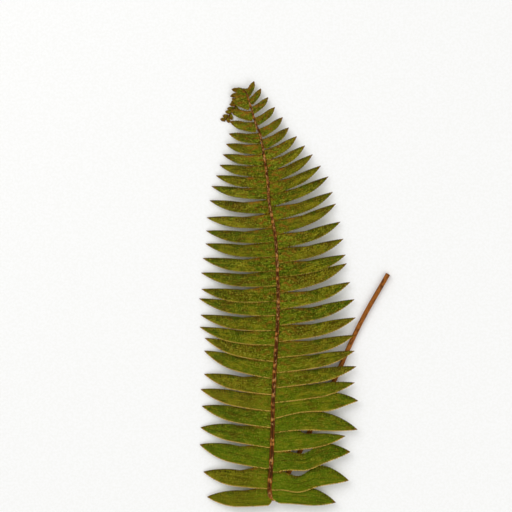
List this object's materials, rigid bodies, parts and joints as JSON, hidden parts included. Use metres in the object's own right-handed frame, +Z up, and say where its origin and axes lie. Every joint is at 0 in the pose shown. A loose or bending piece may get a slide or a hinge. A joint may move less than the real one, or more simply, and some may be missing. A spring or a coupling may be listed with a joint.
{
  "type": "fern frond",
  "caption": "Cut fern frond lying face up: a midrib with toothed lance-shaped leaflets on both sides, a curled tip, and its stalk folded back behind the blade.",
  "frame": {"origin": "on the flat underside of the stalk, where it lies on the surface, about 22 mm on from the fold at the foot of the blade", "axes": "+X across the blade to the side where the stalk lies, +Y along the blade from foot to tip, +Z up out of the face of the blade, away from the surface it lies on"},
  "size_m": [0.2044, 0.4549, 0.0171],
  "materials": {
    "leaf": "satin"
  },
  "bodies": {
    "root": {"frond": "leaf"}
  },
  "joints": []
}
